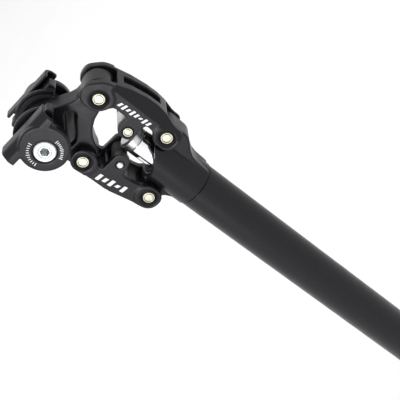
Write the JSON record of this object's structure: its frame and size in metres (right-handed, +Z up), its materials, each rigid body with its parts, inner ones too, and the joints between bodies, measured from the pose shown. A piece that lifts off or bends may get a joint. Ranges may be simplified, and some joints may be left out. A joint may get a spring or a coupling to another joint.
{
  "type": "suspension seatpost",
  "caption": "Bicycle seatpost whose saddle clamp rides on a parallelogram of links over a spring plunger, with a tilting rail clamp and a preload plug.",
  "frame": {"origin": "centre of the tube's lower end", "axes": "+Z up along the tube, +X forwards towards the front link, -Y on the side of the clamp bolt's head"},
  "size_m": [0.071, 0.0564, 0.3521],
  "materials": {
    "black_alloy": "satin black anodised forging",
    "pin_steel": "turned steel",
    "plated_steel": "bright zinc plating",
    "chrome_steel": "polished hard chrome",
    "grey_steel": "ground steel",
    "bronze": "sintered bronze",
    "rubber": "matt black rubber",
    "plastic": "moulded nylon",
    "spring_steel": "phosphated spring steel"
  },
  "bodies": {
    "post": {"post_tube": "black_alloy", "post_head": "black_alloy", "guide_bush": "bronze", "dust_wiper": "rubber", "coil_spring": "spring_steel", "lower_front_bush_left": "bronze", "lower_front_bush_right": "bronze", "lower_rear_bush_left": "bronze", "lower_rear_bush_right": "bronze"},
    "plunger": {"plunger": "chrome_steel", "plunger_cap": "grey_steel", "spring_follower": "plastic"},
    "preload_carrier": {"spring_seat": "plastic", "thrust_washer": "pin_steel"},
    "preload_plug": {"preload_plug": "plated_steel"},
    "front_link": {"front_link": "black_alloy", "front_upper_axle": "pin_steel", "front_lower_axle": "pin_steel", "roller_pin": "pin_steel"},
    "roller": {"roller": "grey_steel", "roller_bush": "bronze"},
    "rear_link": {"rear_link": "black_alloy", "rear_upper_axle": "pin_steel", "rear_lower_axle": "pin_steel", "bumper_pin": "pin_steel", "bumper": "rubber"},
    "saddle_head": {"saddle_head": "black_alloy", "upper_front_bush_left": "bronze", "upper_front_bush_right": "bronze", "upper_rear_bush_left": "bronze", "upper_rear_bush_right": "bronze"},
    "clamp": {"inner_jaw_left": "black_alloy", "inner_jaw_right": "black_alloy", "outer_jaw_left": "black_alloy", "outer_jaw_right": "black_alloy", "clamp_bolt": "plated_steel", "clamp_nut": "plated_steel"}
  },
  "joints": [
    {"name": "front_link_swing", "type": "hinge", "parent": "post", "child": "front_link", "pos_m": [0.017, 0, 0.283], "axis": [0, -1, 0], "range_deg": [0, 60]},
    {"name": "rear_link_swing", "type": "hinge", "parent": "post", "child": "rear_link", "pos_m": [-0.019, 0, 0.2645], "axis": [0, -1, 0], "range_deg": [0, 60]},
    {"name": "saddle_head_pivot", "type": "hinge", "parent": "front_link", "child": "saddle_head", "pos_m": [0.01127, 0, 0.32713], "axis": [0, -1, 0], "range_deg": [-60, 0]},
    {"name": "plunger_slide", "type": "slide", "parent": "post", "child": "plunger", "axis": [0, 0, 1], "range_m": [-0.01902, 0], "stiffness_N_per_m": 79000, "springref_m": 0.0005, "deforming": ["coil_spring"]},
    {"name": "roller_spin", "type": "hinge", "parent": "front_link", "child": "roller", "pos_m": [0.006, 0, 0.302], "axis": [0, -1, 0], "continuous": true},
    {"name": "clamp_tilt", "type": "hinge", "parent": "saddle_head", "child": "clamp", "pos_m": [-0.0255, 0, 0.334], "axis": [0, -1, 0], "range_deg": [-15, 15]},
    {"name": "preload_slide", "type": "slide", "parent": "post", "child": "preload_carrier", "axis": [0, 0, 1], "range_m": [0, 0.012], "deforming": ["coil_spring"]},
    {"name": "preload_turn", "type": "hinge", "parent": "preload_carrier", "child": "preload_plug", "pos_m": [0, 0, 0.003], "axis": [0, 0, 1], "range_deg": [0, 2885]}
  ],
  "couplings": [
    {"joint": "front_link_swing", "follows": "plunger_slide", "rad_per_m": -55.05},
    {"joint": "rear_link_swing", "follows": "plunger_slide", "rad_per_m": -55.05},
    {"joint": "saddle_head_pivot", "follows": "plunger_slide", "rad_per_m": 55.05},
    {"joint": "preload_turn", "follows": "preload_slide", "rad_per_m": 4188.8}
  ]
}
